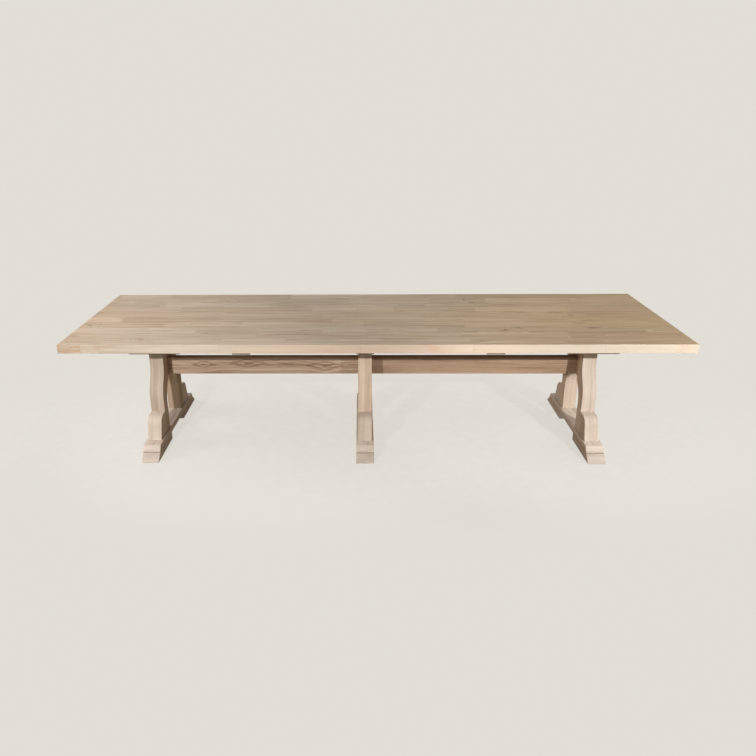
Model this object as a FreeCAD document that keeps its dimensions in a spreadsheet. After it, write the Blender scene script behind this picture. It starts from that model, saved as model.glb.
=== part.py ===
import FreeCAD, Part
import math
import os
import Sketcher

# A long trestle dining table in millimetres. X runs along the table, Y runs across it with the front
# at -Y, and Z is up. The origin is on the floor, under the middle of the top.

# The driving dimensions. Each one goes into a cell of the sheet under its own name.
SIZES = {
    # the top, glued up from equal boards with a tongue along each joint
    "top_length": 3500,
    "top_width": 1100,
    "top_thickness": 50,
    "table_height": 760,
    "board_count": 10,
    "tongue_depth": 10,
    "tongue_thickness": 14,
    # the planks across the underside: one on each trestle and two battens between them
    "bearer_setback": 90,
    "batten_setback": 67,
    "bearer_thickness": 36,
    "end_bearer_width": 290,
    "end_bearer_inset": 90,
    "centre_bearer_width": 100,
    "batten_width": 102,
    "batten_thickness": 30,
    # where the trestles stand: the top overhangs the end ones, and the centre one is a little left
    "left_overhang": 420,
    "right_overhang": 440,
    "centre_trestle_shift": 50,
    # the legs, cut to an S on the outside and to one arch on the inside
    "leg_thickness": 84,
    "leg_spread": 220,
    "leg_foot_width": 75,
    "leg_top_width": 74,
    "leg_bulge": 2,
    "leg_bulge_rise": 78,
    "leg_neck_rise": 215,
    "arch_height": 392,
    # the crosspiece between the heads of two legs
    "crosspiece_width": 150,
    "crosspiece_thickness": 66,
    "crosspiece_tenon_rise": 58,
    "crosspiece_tenon_drop": 70,
    # the shoulder block outside each leg
    "shoulder_length": 132,
    "shoulder_height": 136,
    "shoulder_flat": 42,
    "shoulder_waist": 104,
    "shoulder_waist_rise": 78,
    "shoulder_tongue_height": 70,
    "shoulder_stub_width": 60,
    # the foot beam and the pad under each end of it
    "foot_width": 105,
    "foot_thickness": 37,
    "pad_height": 45,
    "pad_length": 335,
    "toe_ledge": 60,
    "toe_bevel": 25,
    "toe_run": 53,
    # the two halves of the stretcher
    "stretcher_thickness": 45,
    "stretcher_height": 111,
    "stretcher_tenon_thickness": 24,
    "stretcher_tenon_shoulder": 20,
    "stretcher_tenon_gap": 3,
    # joints
    "tenon_thickness": 26,
    "stub_thickness": 40,
    "stub_width": 40,
    "leg_stub_width": 22,
    "joint_clearance": 0.3,
    "cut_overrun": 5,
    # pegs and screws
    "peg_radius": 5,
    "peg_length": 100,
    "peg_recess": 2,
    "screw_radius": 2.5,
    "screw_head_radius": 6,
    "screw_head_height": 4,
    "pad_screw_inset": 70,
    # the place of each batten, as a share of the clear span from the end bearer to the centre one
    "left_batten_share": 0.352,
    "right_batten_share": 0.371,
    # depths of joints and screws, as shares of the wood that they are cut into
    "crosspiece_tenon_share": 0.6,
    "bearer_stub_share": 0.6,
    "foot_stub_share": 0.45,
    "tongue_share": 0.33,
    "top_bite_share": 0.5,
    "foot_bite_share": 0.5,
    "counterbore_share": 0.35,
}

doc = FreeCAD.newDocument("trestle_table")
sheet = doc.addObject("Spreadsheet::Sheet", "Sizes")
for row, (alias, number) in enumerate(SIZES.items(), start=1):
    sheet.set(f"A{row}", alias)
    sheet.set(f"B{row}", str(number))
    sheet.setAlias(f"B{row}", alias)
doc.recompute()


class Size:
    """A measure with its value now and the formula that ties it to the sheet."""

    def __init__(self, value, formula):
        self.value = value
        self.formula = formula

    @staticmethod
    def of(other):
        return other if isinstance(other, Size) else Size(float(other), repr(other))

    def join(self, other, sign, value):
        return Size(value, f"({self.formula} {sign} {other.formula})")

    def __add__(self, other):
        other = Size.of(other)
        return self.join(other, "+", self.value + other.value)

    def __sub__(self, other):
        other = Size.of(other)
        return self.join(other, "-", self.value - other.value)

    def __mul__(self, other):
        other = Size.of(other)
        return self.join(other, "*", self.value * other.value)

    def __truediv__(self, other):
        other = Size.of(other)
        return self.join(other, "/", self.value / other.value)

    def __neg__(self):
        return self * -1

    __radd__ = __add__
    __rmul__ = __mul__


def size(alias):
    return Size(float(sheet.get(alias)), f"Sizes.{alias}")


def root(square):
    return Size(math.sqrt(square.value), f"sqrt({square.formula})")


ZERO = Size(0.0, "0")
CLEARANCE = size("joint_clearance")
OVERRUN = size("cut_overrun")

# Heights and reaches that several pieces share. A reach is measured across the table from its middle.
TOP_UNDERSIDE = size("table_height") - size("top_thickness")
LEG_TOP = TOP_UNDERSIDE - size("bearer_thickness")
BOARD_WIDTH = size("top_width") / size("board_count")
BEARER_LENGTH = size("top_width") - size("bearer_setback") * 2
BATTEN_LENGTH = size("top_width") - size("batten_setback") * 2
PAD_TOP = size("pad_height")
FOOT_TOP = PAD_TOP + size("foot_thickness")
SHOULDER_TOP = FOOT_TOP + size("shoulder_height")
BULGE_HEIGHT = SHOULDER_TOP + size("leg_bulge_rise")
NECK_HEIGHT = BULGE_HEIGHT + size("leg_neck_rise")
CROSSPIECE_REACH = size("crosspiece_width") / 2
LEG_TOP_REACH = CROSSPIECE_REACH + size("leg_top_width")
LEG_HEAD_MIDDLE = CROSSPIECE_REACH + size("leg_top_width") / 2
LEG_SPREAD = size("leg_spread")
BULGE_REACH = LEG_SPREAD + size("leg_bulge")
ARCH_RADIUS = LEG_SPREAD - size("leg_foot_width")
ARCH_SPRING = size("arch_height") - ARCH_RADIUS
ARCH_AT_CROSSPIECE = ARCH_SPRING + root(ARCH_RADIUS * ARCH_RADIUS - CROSSPIECE_REACH * CROSSPIECE_REACH)
SHOULDER_REACH = LEG_SPREAD + size("shoulder_length")
TOE_TOP_REACH = SHOULDER_REACH + size("toe_ledge")
TOE_JOINT_REACH = TOE_TOP_REACH + size("toe_bevel")
TOE_TIP_REACH = TOE_JOINT_REACH + size("toe_run")
PAD_INNER_REACH = TOE_TIP_REACH - size("pad_length")
HALF_CROSSPIECE = size("crosspiece_thickness") / 2
STRETCHER_BOTTOM = size("arch_height")
TENON_BOTTOM = STRETCHER_BOTTOM + size("stretcher_tenon_shoulder")
TENON_TOP = STRETCHER_BOTTOM + size("stretcher_height") - size("stretcher_tenon_shoulder")
PEG_PLACE = HALF_CROSSPIECE / 2
PEG_TOP = STRETCHER_BOTTOM + size("peg_recess") + size("peg_length")
SCREW_HOLE_RADIUS = size("screw_radius") + CLEARANCE
HEAD_HOLE_RADIUS = size("screw_head_radius") + CLEARANCE
BEARER_BORE = size("bearer_thickness") * size("counterbore_share")
SCREWED_WOOD = size("bearer_thickness") - BEARER_BORE
PAD_BORE = PAD_TOP * size("counterbore_share")
TOP_BITE = size("top_thickness") * size("top_bite_share")
FOOT_BITE = size("foot_thickness") * size("foot_bite_share")

LEFT_X = size("left_overhang") - size("top_length") / 2
CENTRE_X = -size("centre_trestle_shift")
RIGHT_X = size("top_length") / 2 - size("right_overhang")
TRESTLES = {"left": LEFT_X, "centre": CENTRE_X, "right": RIGHT_X}
SIDES = {"front": -1, "back": 1}
parts = []


def make_body(label, x=ZERO, y=ZERO, z=ZERO):
    body = doc.addObject("PartDesign::Body", label)
    body.Label = label
    body.setExpression("Placement.Base.x", x.formula)
    body.setExpression("Placement.Base.y", y.formula)
    body.setExpression("Placement.Base.z", z.formula)
    parts.append(body)
    return body


def make_sketch(body, name, plane):
    sketch = body.newObject("Sketcher::SketchObject", f"{body.Name}_{name}")
    support = [feature for feature in body.Origin.OriginFeatures if feature.Role == plane]
    sketch.AttachmentSupport = [(support[0], "")]
    sketch.MapMode = "FlatFace"
    return sketch


def hold(sketch, kind, places, measure):
    """Add one constraint and tie its value to the sheet."""
    index = sketch.addConstraint(Sketcher.Constraint(kind, *places, measure.value))
    sketch.setExpression(f"Constraints[{index}]", measure.formula)


def arc_between(start, end, radius, bulges_out):
    """The arc from start to end of a path that goes anticlockwise, and whether it runs from start."""
    chord = end - start
    height = math.sqrt(radius * radius - chord.Length * chord.Length / 4)
    across = FreeCAD.Vector(-chord.y, chord.x, 0).normalize()
    centre = (start + end) / 2 + across * (height if bulges_out else -height)
    first, last = (start, end) if bulges_out else (end, start)
    circle = Part.Circle(centre, FreeCAD.Vector(0, 0, 1), radius)
    first_angle = math.atan2(first.y - centre.y, first.x - centre.x)
    last_angle = math.atan2(last.y - centre.y, last.x - centre.x)
    return Part.ArcOfCircle(circle, first_angle, last_angle)


def draw_outline(sketch, corners):
    """Draw a closed outline, anticlockwise. A corner is (across, up) or (across, up, bend, radius),
    where bend says whether the arc to the next corner bulges out or is hollow."""
    points = [FreeCAD.Vector(corner[0].value, corner[1].value, 0) for corner in corners]
    ends = []
    for index, corner in enumerate(corners):
        start = points[index]
        end = points[(index + 1) % len(points)]
        if len(corner) == 2:
            edge = sketch.addGeometry(Part.LineSegment(start, end), False)
            ends.append((edge, 1, 2))
            continue
        bulges_out = corner[2] == "out"
        arc = arc_between(start, end, corner[3].value, bulges_out)
        edge = sketch.addGeometry(arc, False)
        ends.append((edge, 1, 2) if bulges_out else (edge, 2, 1))
    for index, (edge, first, last) in enumerate(ends):
        next_edge, next_first, _ = ends[(index + 1) % len(ends)]
        sketch.addConstraint(Sketcher.Constraint("Coincident", edge, last, next_edge, next_first))
    for (edge, first, last), corner in zip(ends, corners):
        hold(sketch, "DistanceX", (-1, 1, edge, first), corner[0])
        hold(sketch, "DistanceY", (-1, 1, edge, first), corner[1])
        if len(corner) > 2:
            hold(sketch, "Radius", (edge,), corner[3])


def box_corners(low_across, high_across, low_up, high_up):
    return [(low_across, low_up), (high_across, low_up), (high_across, high_up), (low_across, high_up)]


def mirrored(corners, side):
    """The outline as drawn for the back half, or its mirror image for the front half."""
    if side > 0:
        return corners
    flipped = []
    for index in range(len(corners) - 1, -1, -1):
        across, up = corners[index][:2]
        bend = corners[index - 1][2:]
        flipped.append((-across, up, *bend))
    return flipped


def draw_circles(sketch, places, radius):
    for x, y in places:
        circle = Part.Circle(FreeCAD.Vector(x.value, y.value, 0), FreeCAD.Vector(0, 0, 1), radius.value)
        index = sketch.addGeometry(circle, False)
        hold(sketch, "DistanceX", (-1, 1, index, 3), x)
        hold(sketch, "DistanceY", (-1, 1, index, 3), y)
        hold(sketch, "Radius", (index,), radius)


def add_slab(body, name, corners, thickness):
    """Wood of the given thickness to both sides of the YZ plane."""
    sketch = make_sketch(body, name, "YZ_Plane")
    draw_outline(sketch, corners)
    pad = body.newObject("PartDesign::Pad", f"{body.Name}_{name}_pad")
    pad.Profile = sketch
    pad.SideType = "Symmetric"
    pad.setExpression("Length", thickness.formula)


def cut_slot(body, name, corners, thickness):
    """A mortise of the given width to both sides of the YZ plane."""
    sketch = make_sketch(body, name, "YZ_Plane")
    draw_outline(sketch, corners)
    pocket = body.newObject("PartDesign::Pocket", f"{body.Name}_{name}_cut")
    pocket.Profile = sketch
    pocket.SideType = "Symmetric"
    pocket.setExpression("Length", thickness.formula)


def drill_up(body, name, places, radius, depth):
    """Round holes from the body's own XY plane upwards."""
    sketch = make_sketch(body, name, "XY_Plane")
    draw_circles(sketch, places, radius)
    pocket = body.newObject("PartDesign::Pocket", f"{body.Name}_{name}_cut")
    pocket.Profile = sketch
    pocket.Reversed = True
    pocket.setExpression("Length", depth.formula)


# Places across the table where screws hold the top: the second and fourth board from each edge.
BOARD_COUNT = SIZES["board_count"]
SCREWED_BOARDS = (1, 3, BOARD_COUNT - 4, BOARD_COUNT - 2)


def board_place(index):
    return BOARD_WIDTH * (index + 0.5) - size("top_width") / 2


# Planks under the top: the place of each along the table, its width, where its trestle stands on it
# and the lines of screws along it.
END_INSET = size("end_bearer_inset")
END_WIDTH = size("end_bearer_width")
SCREW_LINE = END_WIDTH / 4
LEFT_PLACE = LEFT_X + END_INSET
RIGHT_PLACE = RIGHT_X - END_INSET
LEFT_EDGE = LEFT_PLACE + END_WIDTH / 2
RIGHT_EDGE = RIGHT_PLACE - END_WIDTH / 2
CENTRE_WIDTH = size("centre_bearer_width")
LEFT_SPAN = CENTRE_X - CENTRE_WIDTH / 2 - LEFT_EDGE
RIGHT_SPAN = RIGHT_EDGE - CENTRE_X - CENTRE_WIDTH / 2
LEFT_BATTEN_X = LEFT_EDGE + LEFT_SPAN * size("left_batten_share")
RIGHT_BATTEN_X = RIGHT_EDGE - RIGHT_SPAN * size("right_batten_share")
PLANKS = {
    "bearer_left": (LEFT_PLACE, END_WIDTH, -END_INSET, (-SCREW_LINE, SCREW_LINE)),
    "bearer_centre": (CENTRE_X, CENTRE_WIDTH, ZERO, (ZERO,)),
    "bearer_right": (RIGHT_PLACE, END_WIDTH, END_INSET, (-SCREW_LINE, SCREW_LINE)),
    "batten_left": (LEFT_BATTEN_X, size("batten_width"), None, (ZERO,)),
    "batten_right": (RIGHT_BATTEN_X, size("batten_width"), None, (ZERO,)),
}


def make_board(index):
    """One board of the top: a tongue along its back edge, a groove along its front edge."""
    body = make_body(f"top_board_{index + 1:02d}", y=board_place(index), z=TOP_UNDERSIDE)
    half = BOARD_WIDTH / 2
    add_slab(body, "board", box_corners(-half, half, ZERO, size("top_thickness")), size("top_length"))
    middle = size("top_thickness") / 2
    half_tongue = size("tongue_thickness") / 2
    if index < BOARD_COUNT - 1:
        tongue = box_corners(half, half + size("tongue_depth"), middle - half_tongue, middle + half_tongue)
        add_slab(body, "tongue", tongue, size("top_length"))
    if index > 0:
        groove_depth = size("tongue_depth") + CLEARANCE
        half_groove = half_tongue + CLEARANCE
        groove = box_corners(-half - OVERRUN, groove_depth - half, middle - half_groove, middle + half_groove)
        cut_slot(body, "groove", groove, size("top_length") + OVERRUN * 2)
    if index in SCREWED_BOARDS:
        holes = [(place + line, ZERO) for place, _, _, lines in PLANKS.values() for line in lines]
        doc.recompute()
        drill_up(body, "screw_holes", holes, SCREW_HOLE_RADIUS, TOP_BITE + CLEARANCE)


def make_plank(label):
    """A bearer or batten across the underside, mortised for the heads of two legs where it carries them.
    The same screws hold both kinds, so the counterbores leave the same wood under the top."""
    place, width, seat, lines = PLANKS[label]
    length = BATTEN_LENGTH if seat is None else BEARER_LENGTH
    thickness = size("batten_thickness") if seat is None else size("bearer_thickness")
    body = make_body(label, x=place, z=TOP_UNDERSIDE - thickness)
    add_slab(body, "plank", box_corners(-length / 2, length / 2, ZERO, thickness), width)
    holes = [(line, board_place(index)) for line in lines for index in SCREWED_BOARDS]
    doc.recompute()
    drill_up(body, "screw_holes", holes, SCREW_HOLE_RADIUS, thickness + OVERRUN)
    drill_up(body, "head_holes", holes, HEAD_HOLE_RADIUS, thickness - SCREWED_WOOD)
    if seat is None:
        return
    sketch = make_sketch(body, "mortises", "XY_Plane")
    half_x = size("stub_thickness") / 2 + CLEARANCE
    half_y = size("stub_width") / 2 + CLEARANCE
    for side in SIDES.values():
        middle = LEG_HEAD_MIDDLE * side
        corners = box_corners(seat - half_x, seat + half_x, middle - half_y, middle + half_y)
        draw_outline(sketch, corners)
    pocket = body.newObject("PartDesign::Pocket", f"{body.Name}_mortises_cut")
    pocket.Profile = sketch
    pocket.Reversed = True
    depth = size("bearer_thickness") * size("bearer_stub_share") + CLEARANCE
    pocket.setExpression("Length", depth.formula)


def grown(low_across, high_across, bottom, top):
    """The corners of a tenon's box with the clearance of its mortise all round."""
    low = low_across - CLEARANCE
    high = high_across + CLEARANCE
    return box_corners(low, high, bottom - CLEARANCE, top + CLEARANCE)


# Tenons as boxes in the YZ plane, drawn for the back half: the tenon and its mortise share them.
CROSSPIECE_TENON_REACH = CROSSPIECE_REACH + size("leg_top_width") * size("crosspiece_tenon_share")
CROSSPIECE_TENON = (
    -CROSSPIECE_TENON_REACH,
    CROSSPIECE_TENON_REACH,
    ARCH_AT_CROSSPIECE + size("crosspiece_tenon_rise"),
    LEG_TOP - size("crosspiece_tenon_drop"),
)
LEG_HEAD_STUB = (
    LEG_HEAD_MIDDLE - size("stub_width") / 2,
    LEG_HEAD_MIDDLE + size("stub_width") / 2,
    LEG_TOP,
    LEG_TOP + size("bearer_thickness") * size("bearer_stub_share"),
)
FOOT_STUB_BOTTOM = FOOT_TOP - size("foot_thickness") * size("foot_stub_share")
LEG_FOOT_MIDDLE = LEG_SPREAD - size("leg_foot_width") / 2
LEG_FOOT_STUB = (
    LEG_FOOT_MIDDLE - size("leg_stub_width") / 2,
    LEG_FOOT_MIDDLE + size("leg_stub_width") / 2,
    FOOT_STUB_BOTTOM,
    FOOT_TOP,
)
SHOULDER_MIDDLE = LEG_SPREAD + size("shoulder_length") / 2
SHOULDER_STUB = (
    SHOULDER_MIDDLE - size("shoulder_stub_width") / 2,
    SHOULDER_MIDDLE + size("shoulder_stub_width") / 2,
    FOOT_STUB_BOTTOM,
    FOOT_TOP,
)
SHOULDER_TONGUE_MIDDLE = FOOT_TOP + size("shoulder_height") / 2
SHOULDER_TONGUE = (
    LEG_SPREAD - size("leg_foot_width") * size("tongue_share"),
    LEG_SPREAD,
    SHOULDER_TONGUE_MIDDLE - size("shoulder_tongue_height") / 2,
    SHOULDER_TONGUE_MIDDLE + size("shoulder_tongue_height") / 2,
)
STRETCHER_TENON = (
    size("stretcher_tenon_thickness") * -0.5,
    size("stretcher_tenon_thickness") / 2,
    TENON_BOTTOM,
    TENON_TOP,
)


def make_leg(trestle, side):
    """A leg: S-shaped outside, arched inside, with a stub at each end and two mortises."""
    body = make_body(f"{side}_leg_{trestle}", x=TRESTLES[trestle])
    sign = SIDES[side]
    swing = BULGE_REACH - LEG_TOP_REACH
    rise = size("leg_neck_rise")
    neck_radius = (swing * swing + rise * rise) / (swing * 4)
    bulge = size("leg_bulge")
    bulge_rise = size("leg_bulge_rise")
    bulge_radius = (bulge * bulge + bulge_rise * bulge_rise) / (bulge * 2)
    outline = [
        (ARCH_RADIUS, FOOT_TOP),
        (LEG_SPREAD, FOOT_TOP),
        (LEG_SPREAD, SHOULDER_TOP, "out", bulge_radius),
        (BULGE_REACH, BULGE_HEIGHT, "out", neck_radius),
        ((BULGE_REACH + LEG_TOP_REACH) / 2, (BULGE_HEIGHT + NECK_HEIGHT) / 2, "in", neck_radius),
        (LEG_TOP_REACH, NECK_HEIGHT),
        (LEG_TOP_REACH, LEG_TOP),
        (CROSSPIECE_REACH, LEG_TOP),
        (CROSSPIECE_REACH, ARCH_AT_CROSSPIECE, "in", ARCH_RADIUS),
        (ARCH_RADIUS, ARCH_SPRING),
    ]
    add_slab(body, "leg", mirrored(outline, sign), size("leg_thickness"))
    add_slab(body, "head_stub", mirrored(box_corners(*LEG_HEAD_STUB), sign), size("stub_thickness"))
    add_slab(body, "foot_stub", mirrored(box_corners(*LEG_FOOT_STUB), sign), size("stub_thickness"))
    mortise_width = size("tenon_thickness") + CLEARANCE * 2
    low, high, bottom, top = CROSSPIECE_TENON
    rail_mortise = grown(CROSSPIECE_REACH - OVERRUN, high, bottom, top)
    cut_slot(body, "rail_mortise", mirrored(rail_mortise, sign), mortise_width)
    low, high, bottom, top = SHOULDER_TONGUE
    block_mortise = grown(low, high + OVERRUN, bottom, top)
    cut_slot(body, "block_mortise", mirrored(block_mortise, sign), mortise_width)


def make_shoulder(trestle, side):
    """The block outside a leg's lower end, with a rounded top, standing on the foot."""
    body = make_body(f"{side}_shoulder_{trestle}", x=TRESTLES[trestle])
    sign = SIDES[side]
    round_run = size("shoulder_waist") - size("shoulder_flat")
    round_rise = size("shoulder_height") - size("shoulder_waist_rise")
    round_radius = (round_run * round_run + round_rise * round_rise) / (round_rise * 2)
    outline = [
        (LEG_SPREAD, FOOT_TOP),
        (SHOULDER_REACH, FOOT_TOP),
        (LEG_SPREAD + size("shoulder_waist"), FOOT_TOP + size("shoulder_waist_rise"), "out", round_radius),
        (LEG_SPREAD + size("shoulder_flat"), SHOULDER_TOP),
        (LEG_SPREAD, SHOULDER_TOP),
    ]
    add_slab(body, "block", mirrored(outline, sign), size("leg_thickness"))
    add_slab(body, "tongue", mirrored(box_corners(*SHOULDER_TONGUE), sign), size("tenon_thickness"))
    add_slab(body, "stub", mirrored(box_corners(*SHOULDER_STUB), sign), size("stub_thickness"))


def make_crosspiece(trestle):
    """The rail between the heads of two legs, mortised for the stretcher on the side that it meets."""
    body = make_body(f"crosspiece_{trestle}", x=TRESTLES[trestle])
    outline = [
        (-CROSSPIECE_REACH, ARCH_AT_CROSSPIECE, "in", ARCH_RADIUS),
        (CROSSPIECE_REACH, ARCH_AT_CROSSPIECE),
        (CROSSPIECE_REACH, LEG_TOP),
        (-CROSSPIECE_REACH, LEG_TOP),
    ]
    add_slab(body, "rail", outline, size("crosspiece_thickness"))
    add_slab(body, "tenons", box_corners(*CROSSPIECE_TENON), size("tenon_thickness"))
    sketch = make_sketch(body, "stretcher_mortise", "YZ_Plane")
    draw_outline(sketch, grown(*STRETCHER_TENON))
    pocket = body.newObject("PartDesign::Pocket", f"{body.Name}_stretcher_mortise_cut")
    pocket.Profile = sketch
    if trestle == "centre":
        pocket.SideType = "Symmetric"
        depth = size("crosspiece_thickness") + OVERRUN * 2
    else:
        # a pocket runs towards -X unless it is reversed, and the left stretcher lies towards +X
        pocket.Reversed = trestle == "left"
        depth = HALF_CROSSPIECE + OVERRUN
    pocket.setExpression("Length", depth.formula)
    places = {"left": (PEG_PLACE,), "centre": (-PEG_PLACE, PEG_PLACE), "right": (-PEG_PLACE,)}
    pegs = [(place, ZERO) for place in places[trestle]]
    drill_up(body, "peg_holes", pegs, size("peg_radius") + CLEARANCE, PEG_TOP + CLEARANCE)


def make_foot(trestle):
    """The beam that lies on two pads and carries the legs and shoulder blocks in four mortises."""
    body = make_body(f"foot_beam_{trestle}", x=TRESTLES[trestle], z=PAD_TOP)
    thickness = size("foot_thickness")
    outline = [
        (-TOE_JOINT_REACH, ZERO),
        (TOE_JOINT_REACH, ZERO),
        (TOE_TOP_REACH, thickness),
        (-TOE_TOP_REACH, thickness),
    ]
    add_slab(body, "beam", outline, size("foot_width"))
    for side, sign in SIDES.items():
        for name, (low, high, bottom, top) in (("leg", LEG_FOOT_STUB), ("shoulder", SHOULDER_STUB)):
            corners = grown(low, high, bottom - PAD_TOP, top - PAD_TOP + OVERRUN)
            mortise_width = size("stub_thickness") + CLEARANCE * 2
            cut_slot(body, f"{side}_{name}_mortise", mirrored(corners, sign), mortise_width)
    drill_up(body, "screw_holes", pad_screw_places(), SCREW_HOLE_RADIUS, FOOT_BITE + CLEARANCE)


def pad_screw_places():
    """Two screws up through each pad, as (x, y) from the middle of the trestle."""
    inner = PAD_INNER_REACH + size("pad_screw_inset")
    outer = TOE_JOINT_REACH - size("pad_screw_inset")
    return [(ZERO, reach * side) for side in SIDES.values() for reach in (inner, outer)]


def make_pad(trestle, side):
    """The block under one end of a foot beam, with its toe cut back to a slope."""
    body = make_body(f"{side}_pad_{trestle}", x=TRESTLES[trestle])
    sign = SIDES[side]
    outline = [
        (PAD_INNER_REACH, ZERO),
        (TOE_TIP_REACH, ZERO),
        (TOE_JOINT_REACH, PAD_TOP),
        (PAD_INNER_REACH, PAD_TOP),
    ]
    add_slab(body, "pad", mirrored(outline, sign), size("foot_width"))
    holes = [(x, y) for x, y in pad_screw_places() if y.value * sign > 0]
    drill_up(body, "screw_holes", holes, SCREW_HOLE_RADIUS, PAD_TOP + OVERRUN)
    drill_up(body, "head_holes", holes, HEAD_HOLE_RADIUS, PAD_BORE)


def make_stretcher(label, left_trestle, right_trestle):
    """Half of the stretcher, between two crosspieces, with a pegged tenon at each end."""
    left = TRESTLES[left_trestle]
    right = TRESTLES[right_trestle]
    body = make_body(label, x=(left + right) / 2)
    length = right - left - size("crosspiece_thickness")
    tenon_length = HALF_CROSSPIECE - size("stretcher_tenon_gap")
    half = size("stretcher_thickness") / 2
    section = box_corners(-half, half, STRETCHER_BOTTOM, STRETCHER_BOTTOM + size("stretcher_height"))
    add_slab(body, "beam", section, length)
    add_slab(body, "tenons", box_corners(*STRETCHER_TENON), length + tenon_length * 2)
    peg_x = (right - left) / 2 - PEG_PLACE
    pegs = [(-peg_x, ZERO), (peg_x, ZERO)]
    drill_up(body, "peg_holes", pegs, size("peg_radius") + CLEARANCE, PEG_TOP + CLEARANCE)


def make_group(label, solids):
    """Identical small pieces in one node, each a solid of its own."""
    group = doc.addObject("Part::Feature", label)
    group.Label = label
    group.Shape = Part.makeCompound(solids)
    group.Placement = FreeCAD.Placement()
    parts.append(group)


def make_screw(x, y, underside, bore, length):
    """A screw driven upwards: its head's upper face seats on the floor of a counterbore."""
    up = FreeCAD.Vector(0, 0, 1)
    seat = FreeCAD.Vector(x.value, y.value, underside.value + bore.value)
    head_height = size("screw_head_height").value
    head = Part.makeCylinder(size("screw_head_radius").value, head_height, seat - up * head_height, up)
    shank = Part.makeCylinder(size("screw_radius").value, length.value, seat, up)
    return head.fuse(shank).removeSplitter()


def make_top_screws():
    length = SCREWED_WOOD + TOP_BITE
    screws = []
    for place, _, _, lines in PLANKS.values():
        for line in lines:
            for index in SCREWED_BOARDS:
                screws.append(make_screw(place + line, board_place(index), LEG_TOP, BEARER_BORE, length))
    make_group("top_screws", screws)


def make_pad_screws():
    length = PAD_TOP - PAD_BORE + FOOT_BITE
    screws = []
    for place in TRESTLES.values():
        for x, y in pad_screw_places():
            screws.append(make_screw(place + x, y, ZERO, PAD_BORE, length))
    make_group("pad_screws", screws)


def make_pegs():
    places = [
        TRESTLES["left"] + PEG_PLACE,
        TRESTLES["centre"] - PEG_PLACE,
        TRESTLES["centre"] + PEG_PLACE,
        TRESTLES["right"] - PEG_PLACE,
    ]
    foot = STRETCHER_BOTTOM + size("peg_recess")
    pegs = []
    for place in places:
        base = FreeCAD.Vector(place.value, 0, foot.value)
        pegs.append(Part.makeCylinder(size("peg_radius").value, size("peg_length").value, base))
    make_group("tenon_pegs", pegs)


for board in range(BOARD_COUNT):
    make_board(board)
for plank in PLANKS:
    make_plank(plank)
for trestle in TRESTLES:
    make_foot(trestle)
    make_crosspiece(trestle)
    for side in SIDES:
        make_pad(trestle, side)
        make_leg(trestle, side)
        make_shoulder(trestle, side)
make_stretcher("stretcher_left", "left", "centre")
make_stretcher("stretcher_right", "centre", "right")
make_top_screws()
make_pad_screws()
make_pegs()
doc.recompute()

# Every object has to be sound before anything is written.
for item in doc.Objects:
    if "Invalid" in item.State or "Error" in item.State:
        raise RuntimeError(f"{item.Label} did not rebuild: {item.State}")
for part in parts:
    if part.Shape.isNull() or not part.Shape.isValid():
        raise RuntimeError(f"{part.Label} has no valid shape")

os.makedirs("parts", exist_ok=True)
for part in parts:
    part.Shape.exportStep(f"parts/{part.Label}.step")
    box = part.Shape.BoundBox
    litres = part.Shape.Volume / 1e6
    extents = f"{box.XLength:.0f} x {box.YLength:.0f} x {box.ZLength:.0f} mm"
    print(f"{part.Label}: {len(part.Shape.Solids)} solid(s), {extents}, {litres:.3f} litres")
print(f"{len(parts)} nodes written")
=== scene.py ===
# %% [markdown]
# # A long trestle dining table in limed wood
#
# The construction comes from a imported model: every board, leg and screw is there at its real size. This
# lesson dresses that frame. It eases the edges of the wood, gives each piece its own grain, makes the
# small metal and turned pieces, and lights the table. Everything is in metres, and nothing in the frame
# is moved.

# %% Load the frame
import math
import random

import bmesh
import bpy
from mathutils import Matrix, Vector


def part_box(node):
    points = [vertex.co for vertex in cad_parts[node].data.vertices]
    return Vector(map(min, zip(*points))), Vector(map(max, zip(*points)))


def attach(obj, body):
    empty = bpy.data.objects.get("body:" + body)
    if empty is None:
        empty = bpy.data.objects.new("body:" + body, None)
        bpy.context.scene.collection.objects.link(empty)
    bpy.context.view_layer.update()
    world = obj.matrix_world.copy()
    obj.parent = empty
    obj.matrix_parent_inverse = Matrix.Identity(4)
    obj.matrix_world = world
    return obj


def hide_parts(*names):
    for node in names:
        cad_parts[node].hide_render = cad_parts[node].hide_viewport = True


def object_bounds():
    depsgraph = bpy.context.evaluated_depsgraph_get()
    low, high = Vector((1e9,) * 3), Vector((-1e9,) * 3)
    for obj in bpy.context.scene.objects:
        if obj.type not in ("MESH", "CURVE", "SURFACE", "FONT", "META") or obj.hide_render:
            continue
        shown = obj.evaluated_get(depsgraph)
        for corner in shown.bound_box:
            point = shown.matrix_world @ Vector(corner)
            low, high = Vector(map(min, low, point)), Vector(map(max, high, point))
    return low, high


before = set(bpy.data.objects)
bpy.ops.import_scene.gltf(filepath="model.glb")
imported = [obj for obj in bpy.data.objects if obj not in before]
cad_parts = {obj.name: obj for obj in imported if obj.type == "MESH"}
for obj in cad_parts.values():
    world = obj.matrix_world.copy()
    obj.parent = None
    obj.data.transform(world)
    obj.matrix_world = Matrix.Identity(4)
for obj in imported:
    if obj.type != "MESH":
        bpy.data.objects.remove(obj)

cad_low, cad_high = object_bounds()
SCENE = bpy.context.scene
print(f"{len(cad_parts)} nodes in a box of {[round(side, 3) for side in cad_high - cad_low]} m")

# %% [markdown]
# ## The camera
#
# The camera goes first, because every choice of colour and scale is judged through it. It stands in front
# of the table, about two metres up, and looks down at the top. It could be nudged into place by eye, but a
# long table shows every error of perspective. So its place and focal length were worked out from the
# corners of the top and the toes of the feet. A small sideways shift of the lens gives the framing,
# because the picture was cropped a little to one side.

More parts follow.
